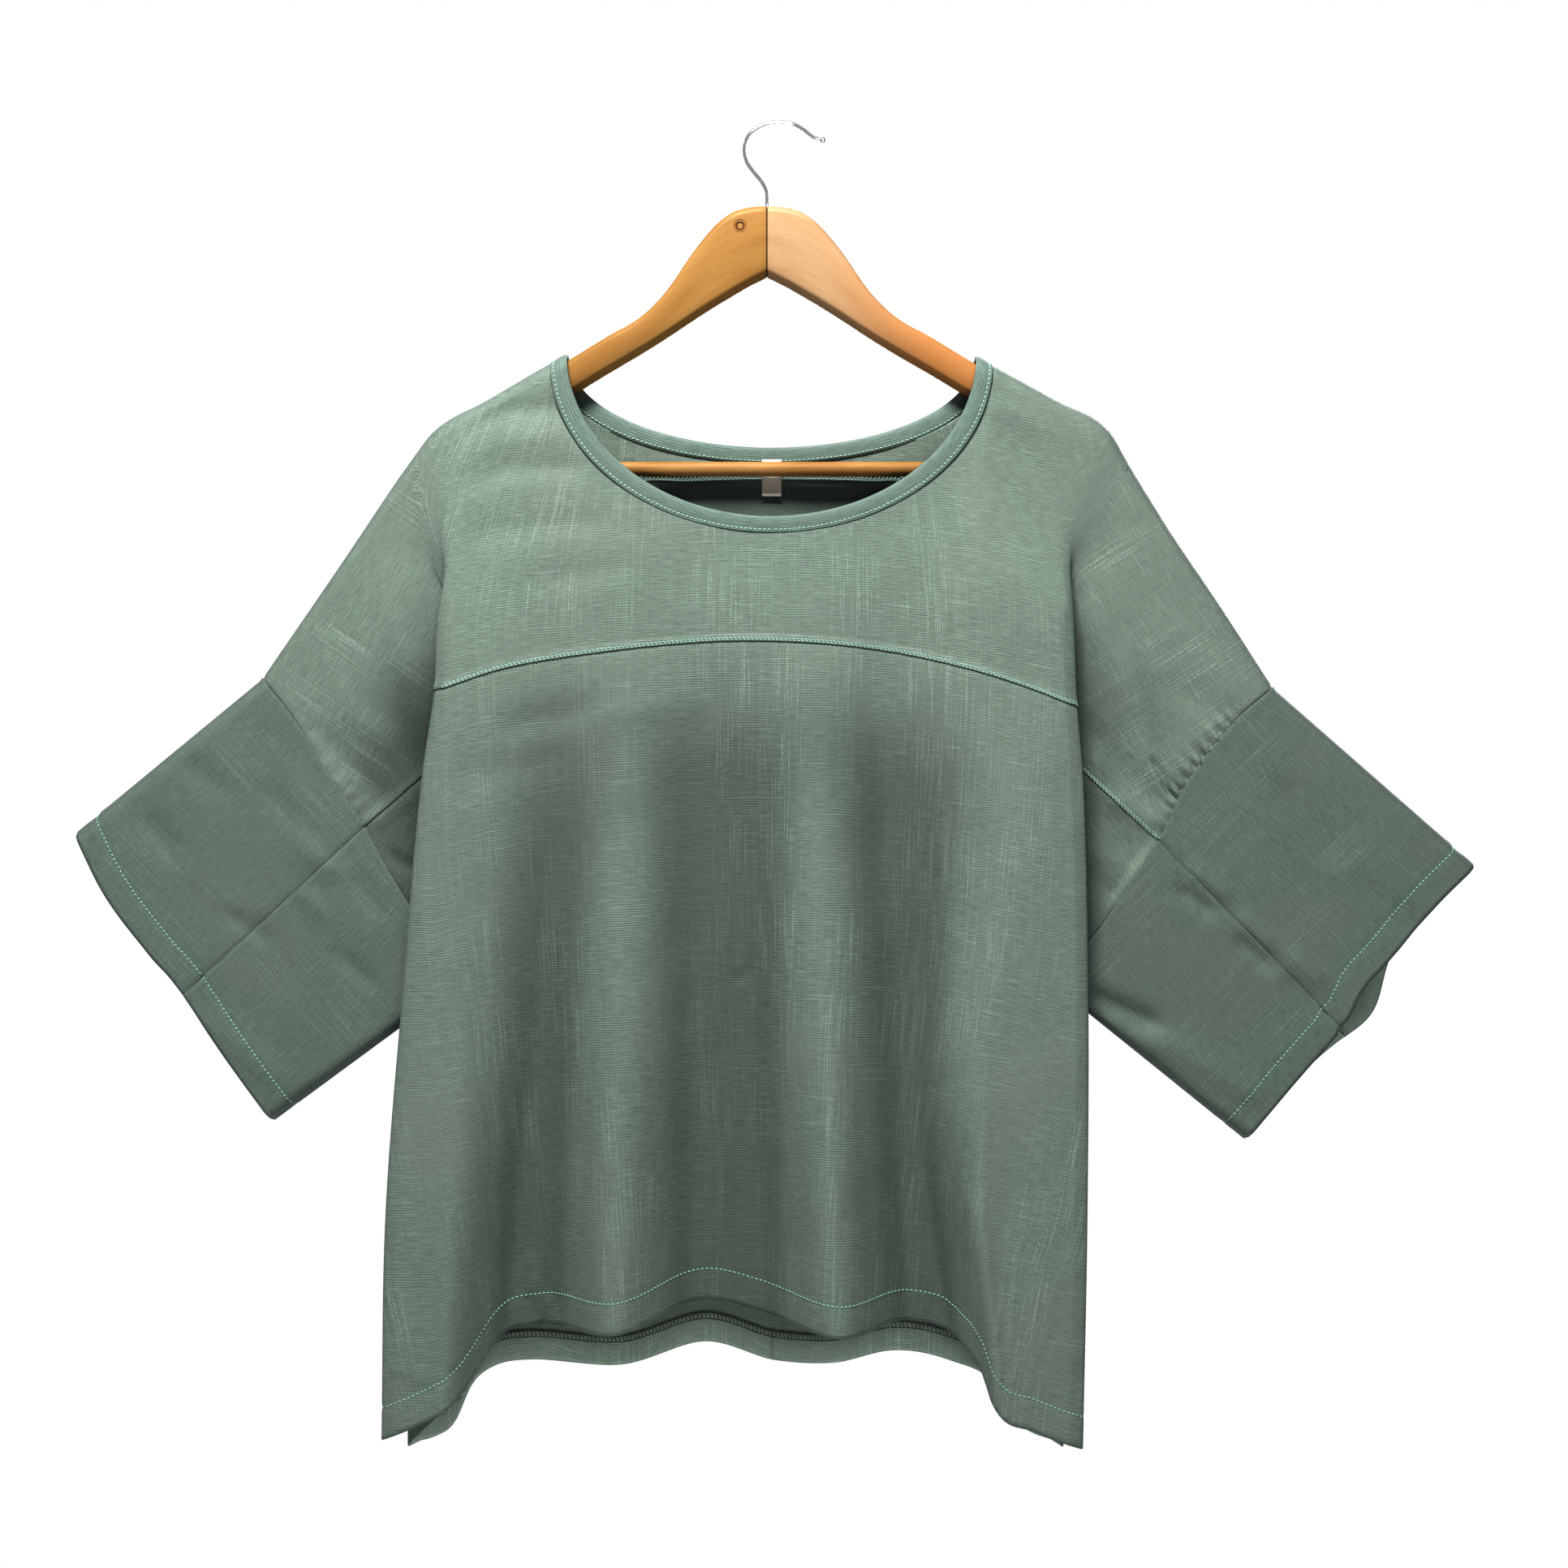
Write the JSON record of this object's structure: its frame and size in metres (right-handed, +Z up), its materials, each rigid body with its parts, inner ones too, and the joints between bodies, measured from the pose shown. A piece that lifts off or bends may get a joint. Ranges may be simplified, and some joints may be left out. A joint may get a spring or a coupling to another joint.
{
  "type": "blouse on hanger",
  "caption": "Boxy batwing blouse with a wide bound neck, deep yoke and wide elbow sleeves, hanging on a wooden hanger with a wire hook.",
  "frame": {"origin": "inner top of the hanger's hook, where it rests on a rod", "axes": "+Z up, the front of the blouse faces -Y, +X is to the right as the front is looked at"},
  "size_m": [0.9078, 0.0857, 0.8723],
  "materials": {
    "cloth": "plain weave with slubs, grey-green",
    "cuff_cloth": "the same cloth, a shade darker",
    "binding": "the same cloth, folded double",
    "label": "satin-woven tape",
    "golden_wood": "clear lacquer, golden",
    "pale_wood": "clear lacquer, paler",
    "bar_wood": "turned, lacquered",
    "chrome": "polished wire"
  },
  "bodies": {
    "root": {"yoke": "cloth", "body_front": "cloth", "body_back": "cloth", "sleeve_upper_left": "cuff_cloth", "sleeve_lower_left": "cuff_cloth", "sleeve_upper_right": "cuff_cloth", "sleeve_lower_right": "cuff_cloth", "neck_binding": "binding", "size_label": "label", "hanger_arm_left": "golden_wood", "hanger_arm_right": "pale_wood", "hanger_bar": "bar_wood", "hanger_hook": "chrome"}
  },
  "joints": []
}
